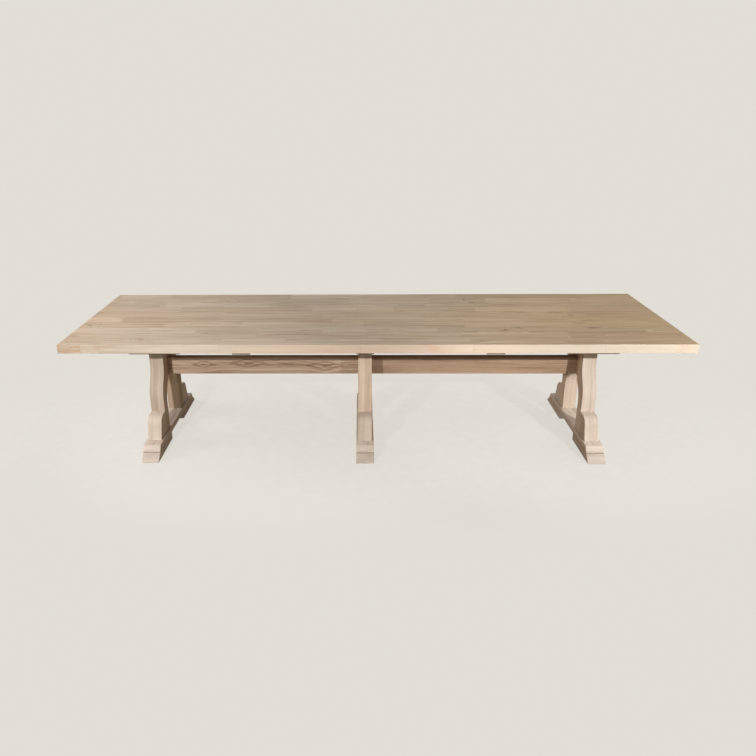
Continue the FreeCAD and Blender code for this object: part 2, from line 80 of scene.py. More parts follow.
# %% Place the camera
IMAGE_SIDE = 756
FOCAL_PIXELS = 704.9
AXIS_COLUMN = 345
CAMERA_PLACE = Vector((-0.073, -4.194, 1.977))
CAMERA_YAW = math.radians(1.41)
CAMERA_PITCH = math.radians(21.15)
CAMERA_ROLL = math.radians(-0.50)
SENSOR = 36


def camera_axes(yaw, pitch, roll):
    """Right, up and backwards as unit vectors, for a camera that looks along +Y before it is turned."""
    level = Vector((-math.sin(yaw), math.cos(yaw), 0))
    right = Vector((math.cos(yaw), math.sin(yaw), 0))
    forward = level * math.cos(pitch) + Vector((0, 0, -math.sin(pitch)))
    down = forward.cross(right)
    rolled_right = right * math.cos(roll) - down * math.sin(roll)
    rolled_down = right * math.sin(roll) + down * math.cos(roll)
    return rolled_right, -rolled_down, -forward


camera_data = bpy.data.cameras.new("camera")
camera_data.sensor_width = SENSOR
camera_data.lens = SENSOR * FOCAL_PIXELS / IMAGE_SIDE
camera_data.shift_x = (IMAGE_SIDE / 2 - AXIS_COLUMN) / IMAGE_SIDE
camera = bpy.data.objects.new("camera", camera_data)
SCENE.collection.objects.link(camera)
turn = Matrix(camera_axes(CAMERA_YAW, CAMERA_PITCH, CAMERA_ROLL)).transposed()
camera.matrix_world = Matrix.Translation(CAMERA_PLACE) @ turn.to_4x4()
SCENE.camera = camera
print(f"lens {camera_data.lens:.2f} mm, shift {camera_data.shift_x:.4f}")

# %% [markdown]
# ## Shader sums as Python
#
# A wood finish is mostly arithmetic on coordinates: distances, waves and thresholds. Wired by hand, that
# is dozens of Math nodes. The class below wraps one socket, so that a sum in Python adds those nodes by
# itself. One method makes every other kind of node.

# %% A socket that takes part in sums
class Signal:
    """A shader socket that can be added, subtracted, multiplied and divided in Python."""

    def __init__(self, tree, socket=None):
        self.tree = tree
        self.socket = socket

    def node(self, kind, settings=None, inputs=None, output=0):
        """Any node: its settings are set first, then the values or links of its sockets."""
        made = self.tree.nodes.new(kind)
        for name, value in (settings or {}).items():
            if name == "stops":
                set_stops(made.color_ramp, value)
            else:
                setattr(made, name, value)
        for key, value in (inputs or {}).items():
            if isinstance(value, Signal):
                self.tree.links.new(value.socket, made.inputs[key])
            else:
                made.inputs[key].default_value = value
        return Signal(self.tree, made.outputs[output])

    def math(self, operation, *others):
        """One Math node with this socket first."""
        return self.node("ShaderNodeMath", {"operation": operation}, dict(enumerate((self, *others))))

    def __add__(self, other):
        return self.math("ADD", other)

    def __sub__(self, other):
        return self.math("SUBTRACT", other)

    def __rsub__(self, other):
        return self.node("ShaderNodeMath", {"operation": "SUBTRACT"}, {0: other, 1: self})

    def __mul__(self, other):
        return self.math("MULTIPLY", other)

    def __truediv__(self, other):
        return self.math("DIVIDE", other)

    def __pow__(self, other):
        return self.math("POWER", other)

    def __abs__(self):
        return self.math("ABSOLUTE")

    __radd__ = __add__
    __rmul__ = __mul__


def set_stops(ramp, stops):
    """Fill a colour ramp with (position, colour) stops."""
    while len(ramp.elements) < len(stops):
        ramp.elements.new(1)
    for element, (position, colour) in zip(ramp.elements, stops):
        element.position = position
        element.color = colour


print("sums on sockets are ready")

# %% [markdown]
# A few nodes come up again and again: stretched noise, a smooth step, a mix of two colours and the three
# parts of a vector. Each gets a short name. Colours are written the way a picture shows them, from 0 to
# 255, and turned into the linear values that the renderer works with.

# %% Short names for the nodes that come up often
MINUS_HALF = (-0.5, -0.5, -0.5)


def shown(red, green, blue):
    """A colour as a picture shows it, taken through the sRGB curve to the renderer's linear values."""
    linear = []
    for value in (red, green, blue):
        share = value / 255
        linear.append(share / 12.92 if share <= 0.04045 else ((share + 0.055) / 1.055) ** 2.4)
    return (*linear, 1)


def stretched(vector, factors):
    return vector.node("ShaderNodeVectorMath", {"operation": "MULTIPLY"}, {0: vector, 1: factors})


def moved(vector, offset):
    return vector.node("ShaderNodeVectorMath", {"operation": "ADD"}, {0: vector, 1: offset})


def noise(vector, factors, detail=2.0, output=0):
    """Noise that is stretched: a small factor along an axis draws it out that way."""
    inputs = {"Vector": stretched(vector, factors), "Scale": 1.0, "Detail": detail}
    return vector.node("ShaderNodeTexNoise", None, inputs, output)


def about_zero(signal):
    """A signal from 0 to 1, lowered so that it lies evenly about zero."""
    return signal - 0.5


def step(signal, low, high):
    """0 below low, 1 above high and smooth between them. With low above high it falls instead."""
    inputs = {"Value": signal, "From Min": low, "From Max": high}
    return signal.node("ShaderNodeMapRange", {"interpolation_type": "SMOOTHSTEP"}, inputs)


def parts_of(vector):
    return [vector.node("ShaderNodeSeparateXYZ", None, {0: vector}, part) for part in range(3)]


def mixed(factor, first, second, kind="MIX"):
    """Two colours mixed by a signal: the Mix node's colour sockets are numbers 6 and 7."""
    settings = {"data_type": "RGBA", "blend_type": kind}
    return factor.node("ShaderNodeMix", settings, {0: factor, 6: first, 7: second}, 2)


def attribute(start, name):
    return start.node("ShaderNodeAttribute", {"attribute_name": name}, None, "Vector")


print("a mid grey of 128 is", [round(value, 3) for value in shown(128, 128, 128)])

# %% [markdown]
# ## Limed wood
#
# Wood is a solid thing. A flat pattern laid on each face would break at the edges, so the finish is worked
# out in the log and not painted on a face. Each piece carries three attributes on its points. *grain* is
# the point's place in the log that the piece was sawn from: along the log, and across it from the pith.
# *cut* holds the piece's warmth, shade and strength of figure. For some pieces, and for the sides of the
# pieces below the top, that shade is painted shade. *glue* says how far a point is from the glue line
# through the piece, and how much darker the wood is beyond that line. Rings are then distances from the
# pith. A face that lies along the rings shows long arches, one that crosses them shows fine lines, and the
# ends show end grain, with no extra work.
#
# The pith sways along the log, knots push the rings aside, and fine fibres, broader streaks and pores run
# lengthwise. The white of the liming stays in the pores.

# %% The figure of the wood
RING_WIDTH = 0.0052
LATE_WOOD_POWER = 2.2
SWAY_STRETCH = (1.9, 0.0, 0.0)
PITH_SWAY = (0.0, 0.022, 0.022)
WOBBLE_STRETCH = (3.0, 26.0, 26.0)
RING_WOBBLE = 0.006
KNOT_PUSH = 0.016
FIBRE_STRETCH = (5.0, 240.0, 240.0)
STREAK_STRETCH = (2.0, 42.0, 42.0)
PORE_STRETCH = (20.0, 900.0, 900.0)
PORE_EDGES = (0.56, 0.70)
PLAIN_DETAIL = 1.0
FINE_DETAIL = 3.0


def wood_figure(grain, push, ring_width, streak_stretch):
    """The rings, fibres, streaks and pores of one log, as signals from 0 to 1."""
    sway = moved(noise(grain, SWAY_STRETCH, PLAIN_DETAIL, "Color"), MINUS_HALF)
    _, across, through = parts_of(moved(grain, stretched(sway, PITH_SWAY)))
    wobble = noise(grain, WOBBLE_STRETCH) * RING_WOBBLE
    radius = (across * across + through * through).math("SQRT") + wobble + push * KNOT_PUSH
    late_wood = (radius / ring_width).math("FRACT") ** LATE_WOOD_POWER
    fibres = noise(grain, FIBRE_STRETCH, FINE_DETAIL)
    streaks = noise(grain, streak_stretch, FINE_DETAIL)
    pores = step(noise(grain, PORE_STRETCH, PLAIN_DETAIL), *PORE_EDGES)
    return late_wood, fibres, streaks, pores


print(f"rings of about {RING_WIDTH * 1000:.1f} mm")

# %% [markdown]
# The figure decides the tone, and the tone picks a colour between a light and a dark wood. The rest is
# laid over it in the order a finisher would: the piece's own warmth, the white in the pores, the knots and
# the shade, part of which is painted shade. Thin washes of colour follow where a piece has aged unevenly,
# and on the top's front edge they also paint light. Last comes the dark of joints and cracks. The same
# signals drive the roughness and a very shallow bump. Limed wood is dry and hardly shines, so its gloss is
# set low.

# %% From the figure to the shader
LATE_WOOD_MEAN = 0.31
FIBRE_TONE = 0.45
STREAK_TONE = 1.1
TONE_ENDS = (0.1, 0.9)
GLUE_LINE = 0.0006
WARM_TINT = shown(255, 226, 190)
PORE_WHITE = shown(232, 224, 212)
PORE_SHARE = 0.22
EYE_SHARE = 0.7
BLACK = (0, 0, 0, 1)
SEAM_COLOUR = shown(96, 76, 58)
FIBRE_HEIGHT = 0.5
RING_HEIGHT = 0.25
PORE_DEPTH = 0.6
WOOD_BUMP = {"Strength": 0.35, "Distance": 0.0006}
WOOD_ROUGHNESS = 0.72
FIBRE_ROUGHNESS = 0.2
PORE_ROUGHNESS = 0.1
WOOD_GLOSS = 0.16


def feed(material, signals, values):
    """Lead signals to the sockets of a material's shader, and set its plain values."""
    sockets = material.node_tree.nodes["Principled BSDF"].inputs
    for name, signal in signals.items():
        material.node_tree.links.new(signal.socket, sockets[name])
    for name, value in values.items():
        sockets[name].default_value = value


def wood_tone(grain, rings, fibres, streaks):
    """From light to dark as 0 to 1, with the change of tone beyond the piece's glue line."""
    from_glue, glue_tone, _ = parts_of(attribute(grain, "glue"))
    beyond = step(from_glue, -GLUE_LINE, GLUE_LINE) * glue_tone
    figure = rings + about_zero(fibres) * FIBRE_TONE + about_zero(streaks) * STREAK_TONE
    return 0.5 + figure + beyond


def finish_wood(
    material, grain, knots, colours, seams=None, tone_shift=0, washes=(),
    ring_width=RING_WIDTH, streak_stretch=STREAK_STRETCH,
):
    """Join the figure to the shader's sockets. Knots are the push on the rings and the dark eyes, or no
    signals at all. Seams are dark lines from 0 to 1, and each wash is (where, colour, kind of mix)."""
    push, eye = knots
    late_wood, fibres, streaks, pores = wood_figure(grain, push, ring_width, streak_stretch)
    warmth, shade, strength = parts_of(attribute(grain, "cut"))
    tone = wood_tone(grain, (late_wood - LATE_WOOD_MEAN) * strength, fibres, streaks) + tone_shift
    light, dark, knot_colour = colours
    stops = list(zip(TONE_ENDS, (light, dark)))
    ramp = grain.node("ShaderNodeValToRGB", {"stops": stops}, {0: tone})
    colour = mixed(warmth, ramp, WARM_TINT, "MULTIPLY")
    colour = mixed(pores * PORE_SHARE, colour, PORE_WHITE)
    if isinstance(eye, Signal):
        colour = mixed(eye * EYE_SHARE, colour, knot_colour)
    # The shade darkens the piece towards black: its own tone, and on some pieces and sides painted shade.
    colour = mixed(1 - shade, colour, BLACK)
    for where, wash, kind in washes:
        colour = mixed(where, colour, wash, kind)
    height = fibres * FIBRE_HEIGHT + late_wood * RING_HEIGHT - pores * PORE_DEPTH
    if seams is not None:
        colour = mixed(seams, colour, SEAM_COLOUR)
        height = height - seams
    rough = WOOD_ROUGHNESS + about_zero(fibres) * FIBRE_ROUGHNESS + pores * PORE_ROUGHNESS
    bump = grain.node("ShaderNodeBump", None, {**WOOD_BUMP, "Height": height})
    signals = {"Base Color": colour, "Roughness": rough, "Normal": bump}
    feed(material, signals, {"Specular IOR Level": WOOD_GLOSS})


print(f"wood of roughness {WOOD_ROUGHNESS} and gloss {WOOD_GLOSS}")

# %% [markdown]
# ## The wood of the trestles
#
# The trestles and the planks under the top are of the plainest wood on the table, sawn so that its lines
# run straight. Streaks that are round in section would look woolly on the curved fronts of the legs. So
# they are thin sheets here: fine through the log, and drawn out both along it and across it. A soft dark
# line marks the joint between a foot beam and its pads.

# %% Finish the wood of the trestles
BASE_COLOURS = (shown(232, 219, 204), shown(190, 172, 155), shown(120, 90, 68))
STRAIGHT_STREAKS = (1.2, 6.0, 70.0)
NO_KNOTS = (0, 0)
LINE_CORE_SHARE = 0.4
PAD_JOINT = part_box("front_pad_left")[1].z
PAD_JOINT_LINE = 0.0024
PAD_JOINT_DARK = 0.6


def new_material(name):
    material = bpy.data.materials.new(name)
    material.use_nodes = True
    return material, Signal(material.node_tree)


def object_place(start):
    """The place on the table: a mesh holds its own place, so Object coordinates are the table's."""
    return start.node("ShaderNodeTexCoord", None, None, "Object")


def thin_line(distance, half_width):
    """1 on a line and 0 beyond its half width, with a soft edge."""
    return step(distance, half_width, half_width * LINE_CORE_SHARE)


def base_wood():
    material, start = new_material("limed_base_wood")
    up = parts_of(object_place(start))[2]
    joint = thin_line(abs(up - PAD_JOINT), PAD_JOINT_LINE) * PAD_JOINT_DARK
    grain = attribute(start, "grain")
    finish_wood(material, grain, NO_KNOTS, BASE_COLOURS, joint, streak_stretch=STRAIGHT_STREAKS)
    return material


BASE_WOOD = base_wood()
print(f"{len(BASE_WOOD.node_tree.nodes)} nodes in {BASE_WOOD.name}")

# %% [markdown]
# ## The figured stretcher
#
# The stretcher's left half was cut through a row of tight knots, and the rings flow round them in long
# eyes. Those knots stand at known places along the piece, so they are written down instead of scattered.
# Each one adds a bump to the distance from the pith, and the rings bend round it by themselves. They are
# wide here, for the tree grew fast, and a dark line, a little uneven, is drawn round each pointed eye. A
# thin wavering line along the heart of the log joins them.

# %% Knots at written places
UNEVEN_STRETCH = (14.0, 60.0, 0.0)
UNEVEN_SHARE = 0.7
POINTED_SHARE = 0.85
PUSH_REACH = (1.6, 0.0)
EYE_REACH = (0.30, 0.12)
EYE_DARK = 0.8
EYE_RING = 0.66
EYE_RING_REACH = (0.20, 0.04)


def placed_knots(along, side, knots, ring_dark=0.0):
    """Knots at written places on a face: each is (along, to the side, half length, half width)."""
    push = eye = 0
    spot = along.node("ShaderNodeCombineXYZ", None, {0: along, 1: side})
    uneven = about_zero(noise(spot, UNEVEN_STRETCH)) * UNEVEN_SHARE
    for place, off, half_length, half_width in knots:
        far_along = (along - place) / half_length
        far_aside = (side - off) / half_width
        far = (abs(far_along) + abs(far_aside)) * POINTED_SHARE + uneven
        push = push + step(far, *PUSH_REACH)
        ring = step(abs(far - EYE_RING), *EYE_RING_REACH)
        eye = eye + step(far, *EYE_REACH) * EYE_DARK + ring * ring_dark
    return push, eye


print("knots can be placed")

# %% The finish of the stretcher
STRETCHER_COLOURS = (shown(212, 187, 163), shown(156, 127, 104), shown(104, 72, 52))
STRETCHER_RING_WIDTH = 0.0125
STRETCHER_EYES = [
    (-1.068, 0.455, 0.10, 0.026), (-0.788, 0.462, 0.14, 0.034), (-0.545, 0.450, 0.16, 0.016),
    (-0.301, 0.446, 0.14, 0.038),
]
EYE_RING_DARK = 0.6
HEART_LINE = 0.451
HEART_WIDTHS = (0.0045, 0.001)
HEART_DARK = 0.5
HEART_RANGE = (0.0, -0.1)
WAVER_STRETCH = (6.0, 0.0, 0.0)
HEART_WAVER = 0.022
BREAK_STRETCH = (9.0, 0.0, 0.0)
BREAK_EDGES = (0.40, 0.55)


def heart_line(place):
    """A thin line that wavers and breaks off, along the left half of the stretcher only."""
    along, _, up = parts_of(place)
    waver = about_zero(noise(place, WAVER_STRETCH)) * HEART_WAVER
    broken = step(noise(place, BREAK_STRETCH, PLAIN_DETAIL), *BREAK_EDGES) * step(along, *HEART_RANGE)
    return step(abs(up - HEART_LINE + waver), *HEART_WIDTHS) * broken * HEART_DARK


def stretcher_wood():
    material, start = new_material("figured_stretcher_wood")
    place = object_place(start)
    along, _, up = parts_of(place)
    knots = placed_knots(along, up, STRETCHER_EYES, EYE_RING_DARK)
    grain = attribute(start, "grain")
    heart = heart_line(place)
    finish_wood(material, grain, knots, STRETCHER_COLOURS, heart, ring_width=STRETCHER_RING_WIDTH)
    return material


STRETCHER_WOOD = stretcher_wood()
print(f"{len(STRETCHER_EYES)} knots placed along the stretcher")

# %% [markdown]
# ## The top's own wood
#
# The top hasn't aged evenly: it is greyer in the middle, browner towards the right end and a touch pinker
# at the left end. The front edge is lightened towards cream, more towards the right: the cream is partly
# the lime's colour and partly painted light from the front. The edge has pink blotches about its middle
# and one darker stave at its left end. Each of these could be a wood of its own. As thin washes over one
# wood they fade into each other, and the grain runs on below them.

# %% The ageing of the top, and painted light on its front edge
BROWN_WASH = shown(242, 234, 217)
BROWN_RANGE = (-0.9, 1.5)
GREY_WASH = shown(246, 249, 253)
GREY_RANGE = (1.2, 0.2)
FRONT_BAND = (0.004, 0.002)
FRONT_GREY_RANGE = (0.6, -1.6)
FRONT_GREY = 0.5
LIME_CREAM_AND_PAINTED_LIGHT = shown(238, 226, 206)
PAINTED_LIGHT_RANGE = (-1.5, -0.3)
PAINTED_LIGHT_LEAST = 0.08
PAINTED_LIGHT_RISE = 0.42
PINK_WASH = shown(250, 216, 198)
BLOTCH_STRETCH = (5.0, 0.0, 16.0)
BLOTCH_EDGES = (0.54, 0.70)
PINK_IN_BLOTCHES = 0.35
PINK_IN_MIDDLE = 0.36
PINK_END_RANGE = (-1.60, -1.74)
PINK_AT_END = 0.10
END_STAVE_WASH = shown(232, 205, 180)
END_STAVE_RANGE = (-1.615, -1.625)
END_STAVE_STRETCH = (9.0, 0.0, 60.0)
END_STAVE_EDGES = (0.42, 0.62)
END_STAVE_LEAST = 0.15
END_STAVE_RISE = 0.5


def top_washes(place):
    """The uneven ageing of the top, and painted light on its front edge, as washes of colour."""
    along, across, _ = parts_of(place)
    front = step(across - cad_low.y, *FRONT_BAND)
    middle = step(abs(along), *GREY_RANGE)
    # Painted light: how far the front edge is lightened towards cream, more to the right; partly the lime.
    cream_and_painted_light = PAINTED_LIGHT_LEAST + step(along, *PAINTED_LIGHT_RANGE) * PAINTED_LIGHT_RISE
    blotches = step(noise(place, BLOTCH_STRETCH, FINE_DETAIL), *BLOTCH_EDGES)
    pink = blotches * PINK_IN_BLOTCHES + middle * PINK_IN_MIDDLE
    streaks = step(noise(place, END_STAVE_STRETCH, FINE_DETAIL), *END_STAVE_EDGES)
    end_stave = step(along, *END_STAVE_RANGE) * (END_STAVE_LEAST + streaks * END_STAVE_RISE)
    return [
        (step(along, *BROWN_RANGE) * (1 - front), BROWN_WASH, "MULTIPLY"),
        (middle * (1 - front), GREY_WASH, "MULTIPLY"),
        (front * step(along, *FRONT_GREY_RANGE) * FRONT_GREY, GREY_WASH, "MULTIPLY"),
        # The front edge lightened towards cream: partly the lime's colour, partly painted light.
        (front * cream_and_painted_light, LIME_CREAM_AND_PAINTED_LIGHT, "MIX"),
        (front * pink, PINK_WASH, "MULTIPLY"),
        (step(along, *PINK_END_RANGE) * PINK_AT_END, PINK_WASH, "MULTIPLY"),
        (front * end_stave, END_STAVE_WASH, "MULTIPLY"),
    ]


print(f"the front edge is a band of {FRONT_BAND[0] * 1000:.0f} mm")

# %% [markdown]
# Each board of the top is glued up from staves of uneven length. Staves could be modelled one by one, but
# their ends are flush and barely show, so they belong to the finish. A Voronoi texture in one dimension
# cuts a line into such uneven lengths, and gives each of them a random colour. That colour moves the stave
# to another place in the log, and makes it a little lighter or darker. The glue lines between boards are
# thin and come and go. Sparse small knots are scattered over the top, and a few dark ones stand at written
# places, as on the stretcher.

# %% The staves of the top
board_nodes = sorted(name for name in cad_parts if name.startswith("top_board_"))
BOARD_WIDTH = (cad_high.y - cad_low.y) / len(board_nodes)
STAVE_LENGTH = 0.62
ROW_SHIFT = 7.31
SEAM_HALF_WIDTH = 0.0016
OUTER_ROWS = (0.02, 0.03)
FADING_STRETCH = (2.6, 9.1, 0.0)
FADING_EDGES = (0.40, 0.62)
SEAM_LEAST = 0.25
SEAM_RISE = 0.65
END_SEAM = 0.15


def staves(place):
    """A random colour for each stave, and the joints between staves as dark lines."""
    along, across, _ = parts_of(place)
    rows = (across - cad_low.y) / BOARD_WIDTH
    row = rows.math("FLOOR")
    line = {"W": along / STAVE_LENGTH + row * ROW_SHIFT, "Scale": 1.0}
    one_line = {"voronoi_dimensions": "1D", "feature": "F1"}
    stave = place.node("ShaderNodeTexVoronoi", one_line, line, "Color")
    end_gap = place.node("ShaderNodeTexVoronoi", {**one_line, "feature": "DISTANCE_TO_EDGE"}, line)
    from_joint = (0.5 - abs(about_zero(rows - row))) * BOARD_WIDTH
    inside = step(rows, *OUTER_ROWS) * step(len(board_nodes) - rows, *OUTER_ROWS)
    long_seam = inside * thin_line(from_joint, SEAM_HALF_WIDTH)
    end_seam = thin_line(end_gap * STAVE_LENGTH, SEAM_HALF_WIDTH)
    fading = step(noise(place, FADING_STRETCH, PLAIN_DETAIL), *FADING_EDGES)
    return stave, long_seam * (SEAM_LEAST + fading * SEAM_RISE) + end_seam * END_SEAM


print(f"boards of {BOARD_WIDTH * 1000:.0f} mm, staves of about {STAVE_LENGTH * 1000:.0f} mm")

# %% The finish of the top
TOP_COLOURS = (shown(211, 193, 172), shown(167, 147, 125), shown(104, 79, 58))
TOP_KNOTS = [
    (1.272, -0.235, 0.16, 0.060), (0.757, -0.281, 0.13, 0.060), (1.214, 0.027, 0.08, 0.045),
    (-1.700, -0.169, 0.08, 0.050), (-1.312, -0.450, 0.08, 0.040), (0.610, 0.390, 0.07, 0.045),
]
KNOT_CELLS = (3.2, 10.0, 10.0)
CHOSEN_CELLS = (0.86, 0.88)
SMALL_PUSH_REACH = (0.42, 0.04)
SMALL_EYE_REACH = (0.11, 0.05)
OTHER_LOG = (9.0, 0.10, 0.05)
STAVE_TONE = 0.28


def scattered_knots(grain):
    """Sparse small knots: a soft push on the rings, and a dark eye."""
    found = {"Vector": stretched(grain, KNOT_CELLS), "Scale": 1.0}
    distance = grain.node("ShaderNodeTexVoronoi", {"feature": "F1"}, found)
    colour = grain.node("ShaderNodeTexVoronoi", {"feature": "F1"}, found, "Color")
    chosen = step(parts_of(colour)[0], *CHOSEN_CELLS)
    return chosen * step(distance, *SMALL_PUSH_REACH), chosen * step(distance, *SMALL_EYE_REACH)


def top_wood():
    material, start = new_material("limed_top_wood")
    place = object_place(start)
    along, across, _ = parts_of(place)
    stave, seams = staves(place)
    grain = moved(attribute(start, "grain"), stretched(moved(stave, MINUS_HALF), OTHER_LOG))
    small_knots = scattered_knots(grain)
    large_knots = placed_knots(along, across, TOP_KNOTS)
    knots = [small + large for small, large in zip(small_knots, large_knots)]
    stave_tone = about_zero(parts_of(stave)[1]) * STAVE_TONE
    finish_wood(material, grain, knots, TOP_COLOURS, seams, stave_tone, top_washes(place))
    return material


TOP_WOOD = top_wood()
print(f"{len(TOP_WOOD.node_tree.nodes)} nodes in {TOP_WOOD.name}")

# %% [markdown]
# ## Eased edges
#
# A sharp edge on wood never lasts, and no maker leaves one: a plane or sandpaper takes off a couple of
# millimetres, and the narrow round catches the light. The frame's solids have sharp edges, so each wooden
# piece is a copy of its solid with its outer edges rounded. A Bevel modifier would round the screw holes
# too. With bmesh the edges can be chosen, and those of holes are left alone: their walls are made of very
# small faces. The copy's triangles are first joined into whole faces.

# %% Copy a solid and ease its edges
MERGE_DISTANCE = 0.00001
FLAT_ANGLE = math.radians(0.5)
SHARP_ANGLE = math.radians(40)
HOLE_FACE_AREA = 0.00018
EASE_STEPS = 2
ROUND_PROFILE = 0.5


def merged_copy(node):
    """A bmesh of the node's solid with its doubled points merged."""
    work = bmesh.new()
    work.from_mesh(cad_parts[node].data)
    bmesh.ops.remove_doubles(work, verts=work.verts, dist=MERGE_DISTANCE)
    return work


def whole_faces(node):
    """A merged copy of the node with its flat triangles joined."""
    work = merged_copy(node)
    bmesh.ops.dissolve_limit(work, angle_limit=FLAT_ANGLE, verts=work.verts, edges=work.edges)
    return work


def eased_edges(work, wanted=lambda middle: True):
    """The sharp edges for which wanted(middle) holds, other than those of screw holes."""
    found = []
    for edge in work.edges:
        if len(edge.link_faces) != 2 or edge.calc_face_angle(0) < SHARP_ANGLE:
            continue
        if min(face.calc_area() for face in edge.link_faces) < HOLE_FACE_AREA:
            continue
        if wanted((edge.verts[0].co + edge.verts[1].co) / 2):
            found.append(edge)
    return found


def ease(work, edges, radius):
    bmesh.ops.bevel(
        work, geom=edges, offset=radius, segments=EASE_STEPS, profile=ROUND_PROFILE, affect="EDGES",
        clamp_overlap=False,
    )


print(f"edges of more than {math.degrees(SHARP_ANGLE):.0f} degrees can be eased")

# %% [markdown]
# A finished copy becomes a piece of the table. Its curves are shaded smooth and its flat faces stay flat.
# It takes the place of the solid that it was copied from, moves with the table's one body, and wears its
# material.

# %% Turn the copy into a piece
SMOOTH_ANGLE = math.radians(20)


def smooth_curves(work):
    """Smooth shading over shallow angles, so that curves are round and flat faces stay flat."""
    for face in work.faces:
        face.smooth = True
    for edge in work.edges:
        edge.smooth = len(edge.link_faces) == 2 and edge.calc_face_angle(0) < SMOOTH_ANGLE


def add_piece(name, mesh, node):
    """A new piece that stands for a node and moves with the table."""
    piece = bpy.data.objects.new(name, mesh)
    SCENE.collection.objects.link(piece)
    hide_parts(node)
    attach(piece, "root")
    return piece


def wooden_piece(name, work, node, material):
    smooth_curves(work)
    mesh = bpy.data.meshes.new(name)
    work.to_mesh(mesh)
    work.free()
    mesh.materials.append(material)
    return add_piece(name, mesh, node)


print(f"curves are smooth up to {math.degrees(SMOOTH_ANGLE):.0f} degrees")

# %% [markdown]
# ## Sawing each piece from a log
#
# The finish needs to know where in a log each piece was. The function below writes the three attributes.
# The grain runs along the table in boards and stretchers, across it in planks, feet and pads, and upwards
# in legs, shoulders and crosspieces, whose fronts show straight lines. The distance from the pith is drawn
# at random from a fixed seed, so no two pieces match, and yet every run gives the same table. The two
# sides of a piece, which face along the table, may have a look of their own, darker and browner, which is
# painted shade: since each edge is eased, every face has points that belong to it alone.

# %% Write the grain of a piece
GRAIN_ALONG = {"X": (0, 1, 2), "Y": (1, 0, 2), "Z": (2, 1, 0)}
LOG_LENGTH = 40.0
LOG_SIDE = 0.05
GLUE_PLACE_SHARE = 0.45
SIDE_BAND = 0.0005


def corners_of(points):
    """The lowest and highest corner of the box round some points."""
    low = Vector(min(point[axis] for point in points) for axis in range(3))
    high = Vector(max(point[axis] for point in points) for axis in range(3))
    return low, high


def saw_from_log(piece, direction, look, depths, seed, glue_tone=0.0, painted_shade_side_look=None):
    """Write a piece's attributes. Depths are the least and most that its middle may be from the pith."""
    draw = random.Random(seed)
    low, high = corners_of([vertex.co for vertex in piece.data.vertices])
    middle = (low + high) / 2
    half_width = (high.x - low.x) / 2
    slide = draw.uniform(0, LOG_LENGTH)
    side = draw.uniform(-LOG_SIDE, LOG_SIDE)
    depth = draw.uniform(*depths)
    glue_line = half_width * draw.uniform(-GLUE_PLACE_SHARE, GLUE_PLACE_SHARE)
    along, across, through = GRAIN_ALONG[direction]
    grain, cut, glue = (
        piece.data.attributes.new(name, "FLOAT_VECTOR", "POINT") for name in ("grain", "cut", "glue")
    )
    for index, vertex in enumerate(piece.data.vertices):
        place = vertex.co - middle
        grain.data[index].vector = (place[along] + slide, place[across] + side, place[through] + depth)
        # Points on the two sides that face along the table take the painted shade look: darker and
        # browner.
        on_painted_shade_side = abs(place.x) > half_width - SIDE_BAND
        cut.data[index].vector = painted_shade_side_look if painted_shade_side_look and on_painted_shade_side else look
        glue.data[index].vector = (place.x - glue_line, glue_tone, 0)


print("log coordinates are ready")

# %% [markdown]
# ## The top
#
# Ten boards lie side by side. The outer edges of the top are eased by a couple of millimetres. The edges
# where two boards meet get only a touch, which leaves a hairline between them. Each board is a little
# warmer or darker than the next, as boards from different logs are.

# %% Make the boards
TOP_EASE = 0.0022
SEAM_EASE = 0.0005
EDGE_BAND = 0.002
BOARD_SEED = 100
BOARD_WARMTH = (0.02, 0.22)
BOARD_SHADE = (0.93, 1.0)
BOARD_FIGURE = 0.42
BOARD_DEPTHS = (0.06, 0.14)


def is_outer(middle):
    """Whether an edge runs round the outside of the whole top."""
    at_end = min(middle.x - cad_low.x, cad_high.x - middle.x) < EDGE_BAND
    at_side = min(middle.y - cad_low.y, cad_high.y - middle.y) < EDGE_BAND
    return at_end or at_side


for seed, node in enumerate(board_nodes, BOARD_SEED):
    work = whole_faces(node)
    ease(work, eased_edges(work, is_outer), TOP_EASE)
    ease(work, eased_edges(work, lambda middle: not is_outer(middle)), SEAM_EASE)
    board = wooden_piece(f"{node}_eased", work, node, TOP_WOOD)
    draw = random.Random(seed)
    look = (draw.uniform(*BOARD_WARMTH), draw.uniform(*BOARD_SHADE), BOARD_FIGURE)
    saw_from_log(board, "X", look, BOARD_DEPTHS, seed)
print(f"{len(board_nodes)} boards eased")

# %% [markdown]
# ## The trestles, stretcher and planks
#
# The rest of the wood is made the same way, with a slightly larger easing. What differs is how the grain
# runs, how warm and light each piece is, and how strong its figure is. The left trestle is a little pinker
# and darker, the right one creamier, and the left half of the stretcher has the boldest arches. Shade is
# painted into some of these looks. The sides of the pieces, which face along the table, are browner and
# darker than their fronts. The crosspieces, the bearers, the left batten and the left back leg are darker
# for the shade that falls on them. These looks are written in one table, so that a piece can be corrected
# without a new material.

